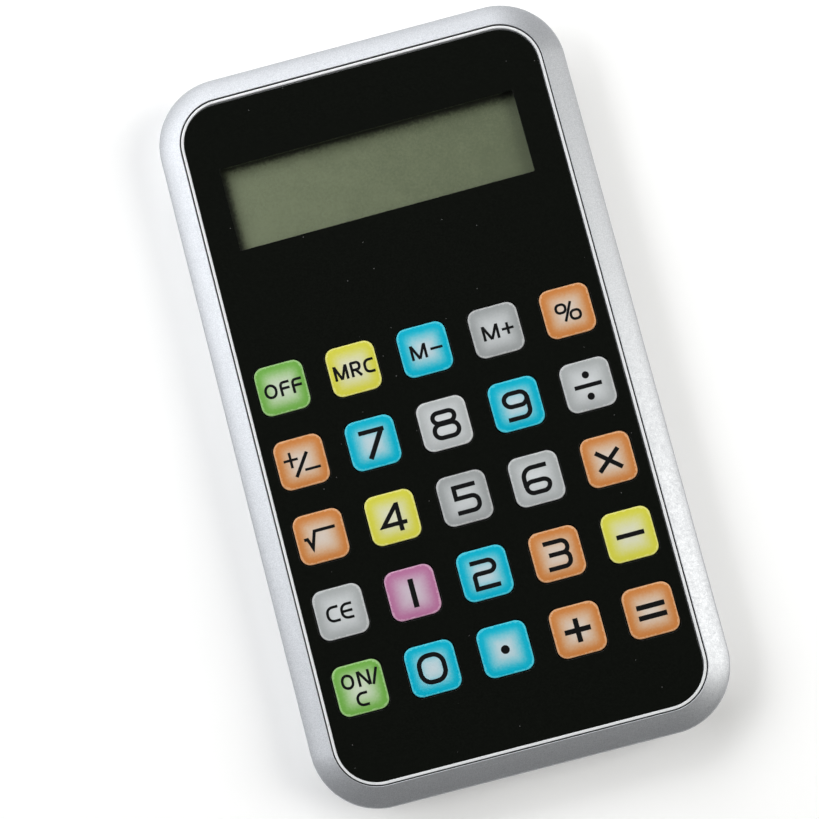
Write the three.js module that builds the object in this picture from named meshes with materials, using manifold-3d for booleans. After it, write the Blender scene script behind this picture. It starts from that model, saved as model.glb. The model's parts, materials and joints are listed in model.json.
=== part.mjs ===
// Slim eight-digit desk calculator with twenty-five flush keys.
// Millimetres. +Z is up, +Y points to the display end, and the origin is the centre of the resting plane.

import * as THREE from 'three';
import { mergeVertices } from 'three/addons/utils/BufferGeometryUtils.js';
import Module from 'manifold-3d';

const wasm = await Module();
wasm.setup();

// ---------------------------------------------------------------- driving dimensions

const RAD = Math.PI / 180;
const SEAT_GAP = 0.05; // between pieces that lie on each other
const PARTING_GAP = 0.15; // between the two half shells
const OVERCUT = 1; // how far a cutter reaches past the face it opens

const CASE = { width: 66.8, length: 118.8, top: 9.5, bottom: 0.5, corner: 10.7 };
const WALL = 1.5;
const BEZEL = { band: 3.65, run: 3.5, drop: 1.8, steps: 1 };
const REAR_EDGE = { run: 2.6, rise: 2.2, steps: 3 };
const SPLIT_Z = 4.15;
const TONGUE = { inset: 0.85, height: 1.0, gap: 0.15 };
const RECESS_DEPTH = 0.75;
const DECK_THICKNESS = 1.2;
const FLOOR_THICKNESS = 1.2;

const FACE = { x: -0.15, y: -0.25, turn: 0.33 * RAD }; // how the front sheet sits in its recess
const PANEL = { width: 58.0, length: 110.2, corner: 6.3, thickness: 0.6 };
const WINDOW = { width: 48.26, length: 13.55, y: 38.1, gap: 0.1, deckMargin: 0.5 };

const KEY = { size: 7.9, corner: 1.6, gap: 0.2, flange: 9.3, flangeThickness: 0.8 };
const KEY_PITCH = { x: 11.616, y: 12.1 };
const KEY_CENTRE_Y = -15.8; // the middle row

const MAT = { width: 57.0, bottomY: -45.4, topY: 13.0, base: 0.8, domeRadius: 3.1, domeTip: 2.5 };
const BOARD = { width: 58.0, length: 99.0, thickness: 1.2, corner: 1.5 };

const LCD = { width: 54.0, length: 18.5, y: 37.6, thickness: 2.0, reflector: 0.25, gap: 0.2 };
const LCD_HOLDER_WALL = 1.3;
const ZEBRA = { width: 50.0, length: 1.8, inset: 1.2 };
const CHIP = { x: -12.0, y: 20.0, radius: 5.0, height: 1.25, rings: 4 };

const CELL = { x: 16.0, y: 20.0, radius: 5.8, height: 3.05, capRadius: 4.4, capHeight: 0.3 };
const CELL_CLEARANCE = 0.3;
const CELL_BLOCK = { width: 21.0, length: 23.0, top: 3.1 };
const CONTACT = { thickness: 0.25, width: 4.0, foot: 3.4 };

const DOOR = { width: 16.0, length: 17.0, thickness: 1.0, corner: 1.0, gap: 0.2, y: 20.0 };
const DOOR_HOOK = { width: 3.0, spacing: 8.0, reach: 1.4, thickness: 0.7, riser: 1.0, swing: 1.1, room: 0.6 };
const DOOR_LATCH = { width: 4.0, thickness: 0.8, height: 0.9 };
const DOOR_GRIP = { count: 5, pitch: 1.1, width: 7.0, ridge: 0.5, depth: 0.25 };

const CASE_SCREW = { x: 27.2, y: 53.2, head: 1.9, headHeight: 1.15, shank: 0.95, tip: 6.5 };
const POST = { radius: 2.3, hole: 1.1, bottom: 3.1, holeTop: 6.9 };
const REAR_BOSS = { radius: 3.0, top: 3.0, headPocket: 2.1, pocketTop: 1.9, hole: 1.15 };
const BOARD_SCREW = { head: 1.4, headHeight: 0.9, shank: 0.6, tip: 6.6 };
const BOARD_POST = { radius: 1.6, hole: 0.75, holeTop: 7.0, boardHole: 0.9 };
const BOARD_SCREW_PLACES = [[-25.5, 20.0], [3.5, 20.0], [-24.0, -47.4], [24.0, -47.4]];
const CROSS_SLOT = { width: 0.4, depth: 0.5 };

const FOOT = { x: 21.5, y: 43.0, radius: 3.6, pocket: 0.45, chamfer: 0.3 };
const CORNERS = [[-1, -1], [1, -1], [-1, 1], [1, 1]];

// An arc of a shape is drawn with twice as many edges as its steps.
const ARC_STEPS = { case: 5, corner: 2, hidden: 1 };
const SIDES = { small: 12, round: 16, wide: 32 };

// ---------------------------------------------------------------- heights worked out from them

const LEDGE_Z = CASE.top - RECESS_DEPTH;
const DECK_BOTTOM = LEDGE_Z - DECK_THICKNESS;
const PANEL_BOTTOM = LEDGE_Z + SEAT_GAP;
const PANEL_TOP = PANEL_BOTTOM + PANEL.thickness;
const FLANGE_TOP = DECK_BOTTOM - SEAT_GAP;
const FLANGE_BOTTOM = FLANGE_TOP - KEY.flangeThickness;
const DOME_TOP = FLANGE_BOTTOM - SEAT_GAP;
const BOARD_TOP = 4.45;
const BOARD_BOTTOM = BOARD_TOP - BOARD.thickness;
const MAT_BOTTOM = BOARD_TOP + SEAT_GAP;
const MAT_TOP = MAT_BOTTOM + MAT.base;
const LCD_TOP = DECK_BOTTOM - SEAT_GAP;
const LCD_BOTTOM = LCD_TOP - LCD.thickness;
const FLOOR_TOP = CASE.bottom + FLOOR_THICKNESS;
const DOOR_TOP = CASE.bottom + DOOR.thickness;
const DOOR_END = DOOR.y + DOOR.length / 2;
const CELL_TOP = DOOR_TOP + SEAT_GAP + CELL.height;

// ---------------------------------------------------------------- legends and colours of the keys

const KEY_ROWS = [
  [['off', 'green'], ['mrc', 'yellow'], ['m_minus', 'blue'], ['m_plus', 'grey'], ['percent', 'orange']],
  [['plus_minus', 'orange'], ['7', 'blue'], ['8', 'grey'], ['9', 'blue'], ['divide', 'grey']],
  [['root', 'orange'], ['4', 'yellow'], ['5', 'grey'], ['6', 'grey'], ['multiply', 'orange']],
  [['ce', 'grey'], ['1', 'pink'], ['2', 'blue'], ['3', 'orange'], ['minus', 'yellow']],
  [['on_c', 'green'], ['0', 'blue'], ['point', 'blue'], ['plus', 'orange'], ['equals', 'orange']],
];

function material(color, roughness, metalness = 0, extra = {}) {
  return new THREE.MeshStandardMaterial({ color, roughness, metalness, ...extra });
}

const KEY_MATERIALS = {
  green: material(0x74b657, 0.35),
  yellow: material(0xd2cd55, 0.35),
  blue: material(0x1fb2d4, 0.35),
  grey: material(0xb4b8ba, 0.35),
  orange: material(0xd0824a, 0.35),
  pink: material(0xc47aac, 0.35),
};
const SILVER = material(0xd6d8dc, 0.38, 0.2);
const REAR_SILVER = material(0xc4c6ca, 0.55, 0.1);
const BLACK_SHEET = material(0x11130f, 0.12);
const CLEAR = material(0xffffff, 0.05, 0, { transparent: true, opacity: 0.25 });
const SILICONE = material(0x8f9496, 0.8);
const BOARD_GREEN = material(0x1e5b38, 0.5);
const LCD_GREEN = material(0x6f7660, 0.25);
const LCD_GREY = material(0x9aa08f, 0.6);
const HOLDER_BLACK = material(0x1a1a1a, 0.6);
const EPOXY = material(0x0c0c0c, 0.3);
const STEEL = material(0xb8babd, 0.3, 1);
const SPRING_METAL = material(0xc8b98c, 0.35, 1);
const FOOT_RUBBER = material(0x2a2a2b, 0.85);

// ---------------------------------------------------------------- solids

function toSolid(geometry) {
  const bare = geometry.clone();
  bare.deleteAttribute('normal');
  bare.deleteAttribute('uv');
  const merged = mergeVertices(bare);
  return new wasm.Manifold(new wasm.Mesh({
    numProp: 3,
    vertProperties: new Float32Array(merged.attributes.position.array),
    triVerts: new Uint32Array(merged.index.array),
  }));
}

function toGeometry(solid) {
  const { vertProperties, triVerts } = solid.getMesh();
  const geometry = new THREE.BufferGeometry();
  geometry.setAttribute('position', new THREE.BufferAttribute(vertProperties, 3));
  geometry.setIndex(new THREE.BufferAttribute(triVerts, 1));
  geometry.computeVertexNormals();
  return geometry;
}

function combine(start, additions, cutters) {
  let solid = toSolid(start);
  for (const addition of additions) {
    solid = solid.add(toSolid(addition));
  }
  for (const cutter of cutters) {
    solid = solid.subtract(toSolid(cutter));
  }
  return toGeometry(solid);
}

function roundedRect(width, length, radius) {
  const x = width / 2 - radius;
  const y = length / 2 - radius;
  const shape = new THREE.Shape();
  shape.absarc(x, y, radius, 0, Math.PI / 2);
  shape.absarc(-x, y, radius, Math.PI / 2, Math.PI);
  shape.absarc(-x, -y, radius, Math.PI, 1.5 * Math.PI);
  shape.absarc(x, -y, radius, 1.5 * Math.PI, 2 * Math.PI);
  return shape;
}

function slab(shape, bottom, top, curveSegments = ARC_STEPS.corner) {
  const geometry = new THREE.ExtrudeGeometry(shape, {
    depth: top - bottom,
    bevelEnabled: false,
    curveSegments,
  });
  return geometry.translate(0, 0, bottom);
}

function caseSlab(inset, bottom, top) {
  const width = CASE.width - 2 * inset;
  const length = CASE.length - 2 * inset;
  return slab(roundedRect(width, length, CASE.corner - inset), bottom, top, ARC_STEPS.case);
}

function box(x, y, bottom, width, length, height) {
  return new THREE.BoxGeometry(width, length, height).translate(x, y, bottom + height / 2);
}

function rod(x, y, radius, bottom, top, sides = SIDES.round) {
  const geometry = new THREE.CylinderGeometry(radius, radius, top - bottom, sides);
  return geometry.rotateX(Math.PI / 2).translate(x, y, (top + bottom) / 2);
}

function roundedCase(run, rise, steps, bottom, top) {
  const blank = roundedRect(CASE.width - 2 * run, CASE.length - 2 * run, CASE.corner - run);
  const geometry = new THREE.ExtrudeGeometry(blank, {
    depth: top - bottom - 2 * rise,
    bevelThickness: rise,
    bevelSize: run,
    bevelSegments: steps,
    curveSegments: ARC_STEPS.case,
  });
  return geometry.translate(0, 0, bottom + rise);
}

function mesh(name, geometry, finish) {
  const piece = new THREE.Mesh(geometry, finish);
  piece.name = name;
  return piece;
}

// ---------------------------------------------------------------- layout of the face

const face = new THREE.Group();
face.position.set(FACE.x, FACE.y, 0);
face.rotation.z = FACE.turn;
face.updateMatrix();

function onFace(geometry) {
  return geometry.applyMatrix4(face.matrix);
}

function keyPlaces() {
  const places = [];
  KEY_ROWS.forEach((row, rowIndex) => {
    row.forEach(([legend, colour], column) => {
      const x = (column - 2) * KEY_PITCH.x;
      const y = KEY_CENTRE_Y + (2 - rowIndex) * KEY_PITCH.y;
      places.push({ legend, colour, x, y });
    });
  });
  return places;
}

function keyOpening(place, bottom, arcSteps) {
  const size = KEY.size + 2 * KEY.gap;
  const shape = roundedRect(size, size, KEY.corner + KEY.gap);
  return slab(shape, bottom, CASE.top + OVERCUT, arcSteps).translate(place.x, place.y, 0);
}

// ---------------------------------------------------------------- front housing: bezel, deck and posts

function frontHousing() {
  const blank = roundedCase(BEZEL.run, BEZEL.drop, BEZEL.steps, SPLIT_Z - CASE.top, CASE.top);
  const recess = caseSlab(BEZEL.band, LEDGE_Z, CASE.top + OVERCUT);
  const lowerHalf = caseSlab(-OVERCUT, SPLIT_Z - CASE.top - OVERCUT, SPLIT_Z + PARTING_GAP);
  const cavity = caseSlab(WALL, SPLIT_Z - OVERCUT, DECK_BOTTOM);
  const rabbetTop = SPLIT_Z + PARTING_GAP + TONGUE.height;
  const rabbet = caseSlab(TONGUE.inset - TONGUE.gap, SPLIT_Z - OVERCUT, rabbetTop);
  const window = onFace(box(
    0, WINDOW.y, DECK_BOTTOM - OVERCUT,
    WINDOW.width + 2 * WINDOW.deckMargin, WINDOW.length + 2 * WINDOW.deckMargin, CASE.top,
  ));
  const openings = keyPlaces().map((place) => (
    onFace(keyOpening(place, DECK_BOTTOM - OVERCUT, ARC_STEPS.hidden))
  ));
  const posts = [];
  const holes = [];
  for (const [sx, sy] of CORNERS) {
    const x = sx * CASE_SCREW.x;
    const y = sy * CASE_SCREW.y;
    posts.push(rod(x, y, POST.radius, POST.bottom, LEDGE_Z - SEAT_GAP));
    holes.push(rod(x, y, POST.hole, POST.bottom - OVERCUT, POST.holeTop));
  }
  for (const [x, y] of BOARD_SCREW_PLACES) {
    posts.push(rod(x, y, BOARD_POST.radius, BOARD_TOP + SEAT_GAP, LEDGE_Z - SEAT_GAP));
    holes.push(rod(x, y, BOARD_POST.hole, BOARD_TOP - OVERCUT, BOARD_POST.holeTop));
  }
  const shell = combine(blank, [], [recess, lowerHalf, cavity, rabbet, window, ...openings]);
  return mesh('front_housing', combine(shell, posts, holes), SILVER);
}

// ---------------------------------------------------------------- front sheet, window and keys

function frontPanel() {
  const shape = roundedRect(PANEL.width, PANEL.length, PANEL.corner);
  const outline = slab(shape, PANEL_BOTTOM, PANEL_TOP, ARC_STEPS.case);
  const window = box(0, WINDOW.y, PANEL_BOTTOM - OVERCUT, WINDOW.width, WINDOW.length, CASE.top);
  const openings = keyPlaces().map((place) => (
    keyOpening(place, PANEL_BOTTOM - OVERCUT, ARC_STEPS.corner)
  ));
  return mesh('front_panel', combine(outline, [], [window, ...openings]), BLACK_SHEET);
}

function displayWindow() {
  const width = WINDOW.width - 2 * WINDOW.gap;
  const length = WINDOW.length - 2 * WINDOW.gap;
  const lens = box(0, WINDOW.y, PANEL_BOTTOM, width, length, PANEL.thickness);
  return mesh('display_window', lens, CLEAR);
}

function keyCap(place) {
  const cap = slab(roundedRect(KEY.size, KEY.size, KEY.corner), FLANGE_TOP - SEAT_GAP, PANEL_TOP);
  const flange = box(0, 0, FLANGE_BOTTOM, KEY.flange, KEY.flange, KEY.flangeThickness);
  const piece = mesh(`key_${place.legend}`, combine(flange, [cap], []), KEY_MATERIALS[place.colour]);
  piece.position.set(place.x, place.y, 0);
  return piece;
}

// ---------------------------------------------------------------- under the deck

function keypadMat() {
  const length = MAT.topY - MAT.bottomY;
  const sheet = box(0, MAT.bottomY + length / 2, MAT_BOTTOM, MAT.width, length, MAT.base);
  const domes = keyPlaces().map((place) => {
    const height = DOME_TOP - MAT_TOP + SEAT_GAP;
    const dome = new THREE.CylinderGeometry(MAT.domeTip, MAT.domeRadius, height, SIDES.small);
    return dome.rotateX(Math.PI / 2).translate(place.x, place.y, DOME_TOP - height / 2);
  });
  return mesh('keypad_mat', combine(sheet, domes, []), SILICONE);
}

function circuitBoard() {
  const board = slab(roundedRect(BOARD.width, BOARD.length, BOARD.corner), BOARD_BOTTOM, BOARD_TOP);
  const cellHole = rod(
    CELL.x, CELL.y, CELL.radius + 3 * CELL_CLEARANCE,
    BOARD_BOTTOM - OVERCUT, BOARD_TOP + OVERCUT, SIDES.wide,
  );
  const screwHoles = BOARD_SCREW_PLACES.map(([x, y]) => (
    rod(x, y, BOARD_POST.boardHole, BOARD_BOTTOM - OVERCUT, BOARD_TOP + OVERCUT)
  ));
  return mesh('circuit_board', combine(board, [], [cellHole, ...screwHoles]), BOARD_GREEN);
}

function lcdGlass() {
  const bottom = LCD_BOTTOM + LCD.reflector + SEAT_GAP;
  return mesh('lcd_glass', box(0, LCD.y, bottom, LCD.width, LCD.length, LCD_TOP - bottom), LCD_GREEN);
}

function lcdReflector() {
  const length = LCD.length - 2 * (ZEBRA.inset + ZEBRA.length);
  const plate = box(0, LCD.y, LCD_BOTTOM, LCD.width, length, LCD.reflector);
  return mesh('lcd_reflector', plate, LCD_GREY);
}

function lcdHolder() {
  const bottom = BOARD_TOP + SEAT_GAP;
  const width = LCD.width + 2 * LCD.gap;
  const length = LCD.length + 2 * LCD.gap;
  const outer = box(
    0, LCD.y, bottom, width + 2 * LCD_HOLDER_WALL, length + 2 * LCD_HOLDER_WALL, LCD_TOP - bottom,
  );
  const inner = box(0, LCD.y, bottom - OVERCUT, width, length, LCD_TOP);
  return mesh('lcd_holder', combine(outer, [], [inner]), HOLDER_BLACK);
}

function zebraStrip() {
  const y = LCD.y - LCD.length / 2 + ZEBRA.inset + ZEBRA.length / 2;
  const bottom = BOARD_TOP + SEAT_GAP;
  const height = LCD_BOTTOM + LCD.reflector - bottom;
  return mesh('zebra_strip', box(0, y, bottom, ZEBRA.width, ZEBRA.length, height), FOOT_RUBBER);
}

function chipBlob() {
  const profile = [new THREE.Vector2(0, 0)];
  for (let ring = 0; ring <= CHIP.rings; ring += 1) {
    const angle = (ring / CHIP.rings) * (Math.PI / 2);
    profile.push(new THREE.Vector2(CHIP.radius * Math.cos(angle), CHIP.height * Math.sin(angle)));
  }
  profile[profile.length - 1].x = 0;
  const dome = new THREE.LatheGeometry(profile, SIDES.round).rotateX(-Math.PI / 2);
  dome.translate(CHIP.x, CHIP.y, BOARD_BOTTOM - SEAT_GAP);
  return mesh('chip_blob', toGeometry(toSolid(dome)), EPOXY);
}

// ---------------------------------------------------------------- battery and its contacts

function buttonCell() {
  const canTop = CELL_TOP - CELL.capHeight;
  const can = rod(CELL.x, CELL.y, CELL.radius, DOOR_TOP + SEAT_GAP, canTop, SIDES.wide);
  const cap = rod(CELL.x, CELL.y, CELL.capRadius, canTop - SEAT_GAP, CELL_TOP, SIDES.wide);
  return mesh('button_cell', combine(can, [cap], []), STEEL);
}

function strip(points) {
  const shape = new THREE.Shape(points.map(([x, z]) => new THREE.Vector2(x, z)));
  const geometry = new THREE.ExtrudeGeometry(shape, { depth: CONTACT.width, bevelEnabled: false });
  return geometry.rotateX(Math.PI / 2).translate(0, CELL.y + CONTACT.width / 2, 0);
}

function contactNegative() {
  const padZ = BOARD_TOP + SEAT_GAP;
  const overZ = CELL_TOP + SEAT_GAP;
  const t = CONTACT.thickness;
  const outer = CELL.x - CELL.radius - 3.0;
  const bend = CELL.x - CELL.radius - 1.0;
  const tip = CELL.x + 2.0;
  return mesh('contact_negative', strip([
    [outer, padZ], [bend, padZ], [bend + 1, overZ], [tip, overZ],
    [tip, overZ + t], [bend + 1 - t, overZ + t], [bend - t, padZ + t], [outer, padZ + t],
  ]), SPRING_METAL);
}

function contactPositive() {
  const side = CELL.x + CELL.radius + SEAT_GAP;
  const lowZ = CELL_BLOCK.top + PARTING_GAP;
  const footZ = BOARD_TOP + SEAT_GAP;
  const footEnd = side + CONTACT.foot;
  const t = CONTACT.thickness;
  return mesh('contact_positive', strip([
    [side, lowZ], [side + t, lowZ], [side + t, footZ],
    [footEnd, footZ], [footEnd, footZ + t], [side, footZ + t],
  ]), SPRING_METAL);
}

// ---------------------------------------------------------------- rear shell, door, screws and feet

function rearShell() {
  const blank = roundedCase(REAR_EDGE.run, REAR_EDGE.rise, REAR_EDGE.steps, CASE.bottom, 2 * CASE.top);
  const upperHalf = caseSlab(-OVERCUT, SPLIT_Z, 3 * CASE.top);
  const cavity = caseSlab(WALL, FLOOR_TOP, 3 * CASE.top);
  const tongueTop = SPLIT_Z + TONGUE.height;
  const tongue = combine(
    caseSlab(TONGUE.inset, SPLIT_Z - OVERCUT, tongueTop), [], [caseSlab(WALL, 0, CASE.top)],
  );
  const block = box(
    CELL.x, DOOR.y, FLOOR_TOP - SEAT_GAP,
    CELL_BLOCK.width, CELL_BLOCK.length, CELL_BLOCK.top - FLOOR_TOP + SEAT_GAP,
  );
  const additions = [tongue, block];
  const cutters = [...doorPocket()];
  for (const [sx, sy] of CORNERS) {
    const x = sx * CASE_SCREW.x;
    const y = sy * CASE_SCREW.y;
    additions.push(rod(x, y, REAR_BOSS.radius, FLOOR_TOP - SEAT_GAP, REAR_BOSS.top));
    cutters.push(rod(x, y, REAR_BOSS.headPocket, CASE.bottom - OVERCUT, REAR_BOSS.pocketTop));
    cutters.push(rod(x, y, REAR_BOSS.hole, CASE.bottom, REAR_BOSS.top + OVERCUT));
    cutters.push(footPocket(sx * FOOT.x, sy * FOOT.y));
  }
  const shell = combine(blank, [], [upperHalf, cavity]);
  return mesh('rear_shell', combine(shell, additions, cutters), REAR_SILVER);
}

function doorPocket() {
  const width = DOOR.width + 2 * DOOR.gap;
  const length = DOOR.length + 2 * DOOR.gap;
  const seat = DOOR_TOP + SEAT_GAP;
  const plate = slab(roundedRect(width, length, DOOR.corner + DOOR.gap), CASE.bottom - OVERCUT, seat);
  const well = rod(
    CELL.x, CELL.y, CELL.radius + CELL_CLEARANCE, CASE.bottom, CELL_BLOCK.top + OVERCUT, SIDES.wide,
  );
  const hookStart = DOOR_END - DOOR_HOOK.riser - DOOR_HOOK.swing;
  const hookLength = DOOR_END + DOOR_HOOK.reach + DOOR_HOOK.room - hookStart;
  const hooks = [-1, 1].map((side) => box(
    CELL.x + (side * DOOR_HOOK.spacing) / 2, hookStart + hookLength / 2, DOOR_TOP,
    DOOR_HOOK.width + 2 * DOOR.gap, hookLength, CELL_BLOCK.top,
  ));
  const latchY = DOOR.y - DOOR.length / 2 + DOOR_LATCH.thickness;
  const latch = box(
    CELL.x, latchY, DOOR_TOP,
    DOOR_LATCH.width + 2 * DOOR.gap, 2 * DOOR_LATCH.thickness + 2 * DOOR.gap, CELL_BLOCK.top,
  );
  return [plate.translate(CELL.x, DOOR.y, 0), well, ...hooks, latch];
}

function batteryDoor() {
  const plate = slab(roundedRect(DOOR.width, DOOR.length, DOOR.corner), CASE.bottom, DOOR_TOP);
  plate.translate(CELL.x, DOOR.y, 0);
  const hookBottom = DOOR_TOP + 3 * SEAT_GAP;
  const additions = [];
  for (const side of [-1, 1]) {
    const x = CELL.x + (side * DOOR_HOOK.spacing) / 2;
    const riserY = DOOR_END - DOOR_HOOK.riser / 2;
    const height = hookBottom + DOOR_HOOK.thickness - DOOR_TOP + SEAT_GAP;
    additions.push(box(x, riserY, DOOR_TOP - SEAT_GAP, DOOR_HOOK.width, DOOR_HOOK.riser, height));
    const tipLength = DOOR_HOOK.reach + DOOR_HOOK.riser;
    const tipY = DOOR_END + DOOR_HOOK.reach - tipLength / 2;
    additions.push(box(x, tipY, hookBottom, DOOR_HOOK.width, tipLength, DOOR_HOOK.thickness));
  }
  const latchY = DOOR.y - DOOR.length / 2 + DOOR_LATCH.thickness;
  additions.push(box(
    CELL.x, latchY, DOOR_TOP - SEAT_GAP,
    DOOR_LATCH.width, DOOR_LATCH.thickness, DOOR_LATCH.height + SEAT_GAP,
  ));
  const grooves = [];
  for (let index = 0; index < DOOR_GRIP.count; index += 1) {
    const y = DOOR.y - DOOR.length / 2 + 2 + index * DOOR_GRIP.pitch;
    grooves.push(box(
      CELL.x, y, CASE.bottom - OVERCUT, DOOR_GRIP.width, DOOR_GRIP.ridge, OVERCUT + DOOR_GRIP.depth,
    ));
  }
  return mesh('battery_door', combine(plate, additions, grooves), REAR_SILVER);
}

function screw(name, x, y, size, headBottom) {
  const headTop = headBottom + size.headHeight;
  const head = rod(x, y, size.head, headBottom, headTop, SIDES.round);
  const shank = rod(x, y, size.shank, headTop - SEAT_GAP, size.tip, SIDES.small);
  const slotLength = 1.3 * size.head;
  const depth = OVERCUT + CROSS_SLOT.depth;
  const slots = [
    box(x, y, headBottom - OVERCUT, slotLength, CROSS_SLOT.width, depth),
    box(x, y, headBottom - OVERCUT, CROSS_SLOT.width, slotLength, depth),
  ];
  return mesh(name, combine(head, [shank], slots), STEEL);
}

function footPocket(x, y) {
  return rod(x, y, FOOT.radius + DOOR.gap, 0, CASE.bottom + FOOT.pocket + SEAT_GAP, SIDES.round);
}

function foot(name, x, y) {
  const top = CASE.bottom + FOOT.pocket;
  const profile = [
    [0, 0], [FOOT.radius - FOOT.chamfer, 0], [FOOT.radius, FOOT.chamfer], [FOOT.radius, top], [0, top],
  ].map(([radius, height]) => new THREE.Vector2(radius, height));
  const pad = new THREE.LatheGeometry(profile, SIDES.round).rotateX(Math.PI / 2).translate(x, y, 0);
  return mesh(name, toGeometry(toSolid(pad)), FOOT_RUBBER);
}

// ---------------------------------------------------------------- assembly

face.add(
  frontPanel(), displayWindow(), ...keyPlaces().map(keyCap),
  keypadMat(), lcdGlass(), lcdReflector(), lcdHolder(), zebraStrip(),
);

const calculator = new THREE.Group();
calculator.add(face, frontHousing(), circuitBoard(), chipBlob());
calculator.add(buttonCell(), contactNegative(), contactPositive());
calculator.add(rearShell(), batteryDoor());
CORNERS.forEach(([sx, sy], index) => {
  const headBottom = REAR_BOSS.pocketTop - SEAT_GAP - CASE_SCREW.headHeight;
  const number = index + 1;
  calculator.add(screw(`case_screw_${number}`, sx * CASE_SCREW.x, sy * CASE_SCREW.y, CASE_SCREW, headBottom));
  calculator.add(foot(`foot_${number}`, sx * FOOT.x, sy * FOOT.y));
});
BOARD_SCREW_PLACES.forEach(([x, y], index) => {
  const headBottom = BOARD_BOTTOM - SEAT_GAP - BOARD_SCREW.headHeight;
  calculator.add(screw(`board_screw_${index + 1}`, x, y, BOARD_SCREW, headBottom));
});

export default calculator;
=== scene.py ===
"""Slim desk calculator: a silver case round a gloss black face, with printed key caps.

Sizes are metres in the properties. Pieces are modelled in millimetres and scaled at the end.
X runs across the calculator, Y from its bottom end to its display, and Z up from the desk.
"""

import json
import math

import bmesh
import bpy
from mathutils import Matrix, Vector

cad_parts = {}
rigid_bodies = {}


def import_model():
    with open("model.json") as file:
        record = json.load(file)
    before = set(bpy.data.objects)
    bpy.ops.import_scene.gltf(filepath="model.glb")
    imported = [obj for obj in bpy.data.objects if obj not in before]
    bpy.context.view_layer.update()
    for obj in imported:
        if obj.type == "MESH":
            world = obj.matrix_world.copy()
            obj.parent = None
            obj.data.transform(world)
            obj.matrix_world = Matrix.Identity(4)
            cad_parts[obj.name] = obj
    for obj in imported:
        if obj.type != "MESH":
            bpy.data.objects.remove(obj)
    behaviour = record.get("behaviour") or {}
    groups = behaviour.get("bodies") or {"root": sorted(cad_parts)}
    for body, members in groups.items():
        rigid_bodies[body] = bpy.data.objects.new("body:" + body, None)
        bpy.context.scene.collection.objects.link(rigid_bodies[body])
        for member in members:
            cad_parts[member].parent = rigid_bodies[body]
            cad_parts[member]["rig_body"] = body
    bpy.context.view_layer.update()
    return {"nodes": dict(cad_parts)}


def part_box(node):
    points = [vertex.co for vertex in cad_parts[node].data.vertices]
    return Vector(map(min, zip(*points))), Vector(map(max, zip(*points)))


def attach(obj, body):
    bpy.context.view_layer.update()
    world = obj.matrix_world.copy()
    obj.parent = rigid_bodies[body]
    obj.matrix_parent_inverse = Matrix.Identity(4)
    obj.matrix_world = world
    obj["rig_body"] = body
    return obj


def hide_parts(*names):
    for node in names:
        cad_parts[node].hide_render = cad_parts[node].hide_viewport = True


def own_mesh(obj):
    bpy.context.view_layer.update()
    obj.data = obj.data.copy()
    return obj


bl_info = {
    "name": "Slim Desk Calculator",
    "version": (1, 0, 0),
    "blender": (4, 5, 0),
    "location": "3D View > Sidebar > Calculator",
    "description": "Builds the visible pieces of a slim desk calculator on its packed frame",
    "category": "Add Mesh",
}

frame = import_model()

MM = 0.001
CASE_BODY = "case"


def add_object(name, data):
    """A new object in the scene."""
    added = bpy.data.objects.new(name, data)
    bpy.context.scene.collection.objects.link(added)
    return added


def box_mm(node):
    """Lowest and highest corner of a frame node, in millimetres."""
    low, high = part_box(node)
    return low / MM, high / MM


def centre_mm(node):
    """Middle of a frame node's box, in millimetres."""
    low, high = box_mm(node)
    return (low + high) / 2


# The keys, row by row from the display down: name and printed finish.
KEY_ROWS = (
    (
        ("off", "green"), ("mrc", "yellow"), ("m_minus", "blue"), ("m_plus", "grey_deep"),
        ("percent", "orange"),
    ),
    (("plus_minus", "orange"), ("7", "blue"), ("8", "grey"), ("9", "blue"), ("divide", "grey_mid")),
    (("root", "orange"), ("4", "yellow"), ("5", "grey_deep"), ("6", "grey_mid"), ("multiply", "orange")),
    (("ce", "grey_mid"), ("1", "pink"), ("2", "blue"), ("3", "orange"), ("minus", "yellow")),
    (("on_c", "green"), ("0", "blue"), ("point", "blue"), ("plus", "orange"), ("equals", "orange")),
)
KEYS = tuple(key for row in KEY_ROWS for key in row)

# Where the frame puts the face: its middle, and its small turn against the case.
FACE_LOW, FACE_HIGH = box_mm("front_panel")
FACE_CENTRE = (FACE_LOW + FACE_HIGH) / 2
ROW_STEP = centre_mm("key_percent") - centre_mm("key_off")
FACE_TURN = math.atan2(ROW_STEP.y, ROW_STEP.x)
FACE_PLACE = Matrix.Translation((FACE_CENTRE.x, FACE_CENTRE.y, 0)) @ Matrix.Rotation(FACE_TURN, 4, "Z")
FACE_TOP = FACE_HIGH.z
KEY_LOW = box_mm("key_0")[0].z


def key_place(name):
    """Puts a piece modelled at the origin on its key, with the face's turn."""
    place = centre_mm("key_" + name)
    return Matrix.Translation((place.x, place.y, 0)) @ Matrix.Rotation(FACE_TURN, 4, "Z")


def srgb(red, green, blue):
    """A colour given on a 0 to 255 scale, as the linear values that shaders take."""
    def linear(value):
        share = value / 255
        return share / 12.92 if share <= 0.04045 else ((share + 0.055) / 1.055) ** 2.4

    return (linear(red), linear(green), linear(blue))


def to_srgb(colour):
    """The 0 to 255 values of a linear colour."""
    def display(value):
        return 255 * (12.92 * value if value <= 0.0031308 else 1.055 * value ** (1 / 2.4) - 0.055)

    return tuple(display(value) for value in colour)


def mixed(first, second, share):
    """A colour part of the way from first to second, mixed as the eye sees it."""
    pairs = zip(to_srgb(first), to_srgb(second))
    return srgb(*(a + (b - a) * share for a, b in pairs))


# ---- sizes and colours

def length(name, description, default_mm):
    """A length property, given in millimetres."""
    return bpy.props.FloatProperty(
        name=name, description=description, default=default_mm * MM, min=0.0, precision=5,
        unit="LENGTH", subtype="DISTANCE",
    )


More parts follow.
